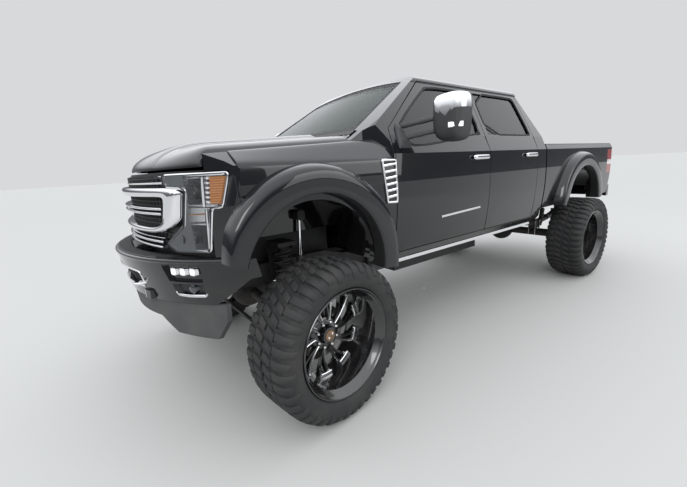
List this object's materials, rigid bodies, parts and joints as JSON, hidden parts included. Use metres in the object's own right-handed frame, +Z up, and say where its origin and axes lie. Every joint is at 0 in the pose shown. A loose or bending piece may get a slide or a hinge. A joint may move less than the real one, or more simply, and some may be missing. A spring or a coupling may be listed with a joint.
{
  "type": "heavy-duty pickup truck",
  "caption": "Lifted heavy-duty crew cab pickup truck with opening doors, hood and tailgate, steered front axle and wheels that roll on large lugged tyres.",
  "frame": {"origin": "on the ground, under the middle of the truck's overall box", "axes": "+X towards the truck's left side, -Y towards its front, +Z up"},
  "size_m": [2.71, 6.35, 2.338],
  "materials": {
    "paint": "gloss black paint under clear coat",
    "interior_plastic": "dark grained plastic",
    "seat_cover": "dark leather",
    "windscreen_glass": "clear glass with a faint green tint",
    "tinted_glass": "dark privacy glass",
    "bright_trim": "bright chrome",
    "grey_plastic": "matte dark grey plastic",
    "black_plastic": "satin black plastic",
    "lamp_body": "dark lamp housing behind clear plastic",
    "red_lens": "red lamp lens",
    "chassis_steel": "satin black chassis paint",
    "cast_metal": "dark cast metal",
    "bare_steel": "dull steel tube",
    "wheel_gloss": "gloss black with bright milled edges",
    "tyre_rubber": "matte black tread rubber"
  },
  "bodies": {
    "chassis": {"cab": "paint", "dashboard": "interior_plastic", "steering_wheel": "interior_plastic", "front_seats": "seat_cover", "rear_seat": "seat_cover", "windscreen": "windscreen_glass", "rear_window": "tinted_glass", "rocker_trims": "bright_trim", "fenders": "paint", "flares": "paint", "front_bumper": "paint", "air_dam": "grey_plastic", "grille": "bright_trim", "headlamps": "lamp_body", "fender_vents": "bright_trim", "radiator": "black_plastic", "bed": "paint", "tail_lamps": "red_lens", "rear_bumper": "paint", "frame": "chassis_steel", "engine": "cast_metal", "front_axle": "chassis_steel", "rear_axle": "chassis_steel", "front_suspension": "chassis_steel", "rear_suspension": "chassis_steel", "driveline": "cast_metal", "exhaust": "bare_steel", "fuel_tank": "black_plastic"},
    "hood": {"hood": "paint"},
    "tailgate": {"tailgate": "paint"},
    "knuckle_left": {"knuckle_left": "cast_metal"},
    "knuckle_right": {"knuckle_right": "cast_metal"},
    "tie_rod": {"tie_rod": "chassis_steel"},
    "wheel_front_left": {"wheel_front_left": "wheel_gloss", "tyre_front_left": "tyre_rubber"},
    "wheel_front_right": {"wheel_front_right": "wheel_gloss", "tyre_front_right": "tyre_rubber"},
    "wheel_rear_left": {"wheel_rear_left": "wheel_gloss", "tyre_rear_left": "tyre_rubber"},
    "wheel_rear_right": {"wheel_rear_right": "wheel_gloss", "tyre_rear_right": "tyre_rubber"},
    "door_front_left": {"door_front_left": "paint", "glass_front_left": "tinted_glass", "mirror_left": "black_plastic"},
    "door_front_right": {"door_front_right": "paint", "glass_front_right": "tinted_glass", "mirror_right": "black_plastic"},
    "door_rear_left": {"door_rear_left": "paint", "glass_rear_left": "tinted_glass"},
    "door_rear_right": {"door_rear_right": "paint", "glass_rear_right": "tinted_glass"}
  },
  "joints": [
    {"name": "steer_left", "type": "hinge", "parent": "chassis", "child": "knuckle_left", "pos_m": [0.85, -2.205, 0.508], "axis": [0, 0, 1], "range_deg": [-33, 19]},
    {"name": "steer_right", "type": "hinge", "parent": "chassis", "child": "knuckle_right", "pos_m": [-0.85, -2.205, 0.508], "axis": [0, 0, 1], "range_deg": [-33, 19]},
    {"name": "tie_rod_left_end", "type": "hinge", "parent": "knuckle_left", "child": "tie_rod", "pos_m": [0.87803, -2.43329, 0.47], "axis": [0, 0, 1], "range_deg": [-19, 33]},
    {"name": "spin_front_left", "type": "hinge", "parent": "knuckle_left", "child": "wheel_front_left", "pos_m": [1.04355, -2.18124, 0.508], "axis": [0.9925, 0.1219, 0], "continuous": true},
    {"name": "spin_front_right", "type": "hinge", "parent": "knuckle_right", "child": "wheel_front_right", "pos_m": [-1.04355, -2.22876, 0.508], "axis": [0.9925, 0.1219, 0], "continuous": true},
    {"name": "spin_rear_left", "type": "hinge", "parent": "chassis", "child": "wheel_rear_left", "pos_m": [1.045, 1.854, 0.508], "axis": [1, 0, 0], "continuous": true},
    {"name": "spin_rear_right", "type": "hinge", "parent": "chassis", "child": "wheel_rear_right", "pos_m": [-1.045, 1.854, 0.508], "axis": [1, 0, 0], "continuous": true},
    {"name": "door_front_left_hinge", "type": "hinge", "parent": "chassis", "child": "door_front_left", "pos_m": [1.012, -1.495, 1.435], "axis": [0, 0, -1], "range_deg": [0, 65]},
    {"name": "door_front_right_hinge", "type": "hinge", "parent": "chassis", "child": "door_front_right", "pos_m": [-1.012, -1.495, 1.435], "axis": [0, 0, 1], "range_deg": [0, 65]},
    {"name": "door_rear_left_hinge", "type": "hinge", "parent": "chassis", "child": "door_rear_left", "pos_m": [1.012, -0.272, 1.435], "axis": [0, 0, -1], "range_deg": [0, 65]},
    {"name": "door_rear_right_hinge", "type": "hinge", "parent": "chassis", "child": "door_rear_right", "pos_m": [-1.012, -0.272, 1.435], "axis": [0, 0, 1], "range_deg": [0, 65]},
    {"name": "hood_hinge", "type": "hinge", "parent": "chassis", "child": "hood", "pos_m": [0, -1.705, 1.755], "axis": [-1, 0, 0], "range_deg": [0, 50]},
    {"name": "tailgate_hinge", "type": "hinge", "parent": "chassis", "child": "tailgate", "pos_m": [0, 2.955, 1.205], "axis": [-1, 0, 0], "range_deg": [0, 90]}
  ],
  "couplings": [
    {"joint": "steer_right", "follows": "steer_left", "ratio": 1},
    {"joint": "tie_rod_left_end", "follows": "steer_left", "ratio": -1}
  ]
}
